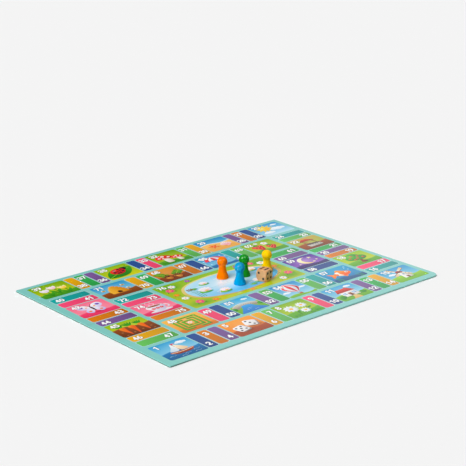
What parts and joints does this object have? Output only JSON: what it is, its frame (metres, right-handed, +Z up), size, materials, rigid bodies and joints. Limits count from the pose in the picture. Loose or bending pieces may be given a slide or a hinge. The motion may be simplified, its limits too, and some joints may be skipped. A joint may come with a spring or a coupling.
{
  "type": "game of the goose board",
  "caption": "Folding race-game board with a numbered spiral track, set out with wooden pawns and a wooden die.",
  "frame": {"origin": "middle of the board's underside, on the table", "axes": "+X along the long side, to the right of a player who sits at the front; +Y to the back of the board; +Z up out of the print"},
  "size_m": [0.4, 0.292, 0.0283],
  "materials": {
    "greyboard": "pressed grey board from recycled paper, bare at the slit and the creases",
    "face_sheet": "art paper printed in colour and laminated, semi-gloss",
    "lining": "uncoated white offset paper, matt",
    "orange_lacquer": "turned beech, opaque orange lacquer, gloss",
    "blue_lacquer": "turned beech, opaque blue lacquer, gloss",
    "green_lacquer": "turned beech, opaque green lacquer, gloss",
    "yellow_lacquer": "turned beech, opaque yellow lacquer, gloss",
    "beech": "natural beech, tumbled smooth and waxed, pips blackened"
  },
  "bodies": {
    "right_back": {"greyboard_right_back": "greyboard", "face_sheet_right_back": "face_sheet", "lining_right_back": "lining"},
    "left_back": {"greyboard_left_back": "greyboard", "face_sheet_left_back": "face_sheet", "lining_left_back": "lining"},
    "right_front": {"greyboard_right_front": "greyboard", "face_sheet_right_front": "face_sheet", "lining_right_front": "lining"},
    "left_front": {"greyboard_left_front": "greyboard", "face_sheet_left_front": "face_sheet", "lining_left_front": "lining"},
    "pawn_orange": {"pawn_orange": "orange_lacquer"},
    "pawn_blue": {"pawn_blue": "blue_lacquer"},
    "pawn_green": {"pawn_green": "green_lacquer"},
    "pawn_yellow": {"pawn_yellow": "yellow_lacquer"},
    "die": {"die": "beech"}
  },
  "joints": [
    {"name": "fold_left_back", "type": "hinge", "parent": "right_back", "child": "left_back", "pos_m": [0, 0.073, 0.0019], "axis": [0, 1, 0], "range_deg": [0, 180]},
    {"name": "fold_left_front", "type": "hinge", "parent": "right_front", "child": "left_front", "pos_m": [0, -0.073, 0.0019], "axis": [0, 1, 0], "range_deg": [0, 180]},
    {"name": "fold_right_front", "type": "hinge", "parent": "right_back", "child": "right_front", "pos_m": [0.1, 0, -0.0001], "axis": [1, 0, 0], "range_deg": [0, 180]},
    {"name": "pawn_orange_off_board", "type": "slide", "parent": "right_back", "child": "pawn_orange", "axis": [1, 0, 0], "range_m": [0, 0.215]},
    {"name": "pawn_blue_off_board", "type": "slide", "parent": "right_back", "child": "pawn_blue", "axis": [1, 0, 0], "range_m": [0, 0.215]},
    {"name": "pawn_green_off_board", "type": "slide", "parent": "right_back", "child": "pawn_green", "axis": [1, 0, 0], "range_m": [0, 0.215]},
    {"name": "pawn_yellow_off_board", "type": "slide", "parent": "right_back", "child": "pawn_yellow", "axis": [1, 0, 0], "range_m": [0, 0.215]},
    {"name": "die_off_board", "type": "slide", "parent": "right_back", "child": "die", "axis": [1, 0, 0], "range_m": [0, 0.215]}
  ],
  "couplings": [
    {"joint": "fold_left_front", "follows": "fold_left_back", "ratio": 1},
    {"joint": "pawn_orange_off_board", "follows": "fold_left_back", "m_per_rad": 0.068},
    {"joint": "pawn_blue_off_board", "follows": "fold_left_back", "m_per_rad": 0.068},
    {"joint": "pawn_green_off_board", "follows": "fold_left_back", "m_per_rad": 0.068},
    {"joint": "pawn_yellow_off_board", "follows": "fold_left_back", "m_per_rad": 0.068},
    {"joint": "die_off_board", "follows": "fold_left_back", "m_per_rad": 0.068}
  ]
}
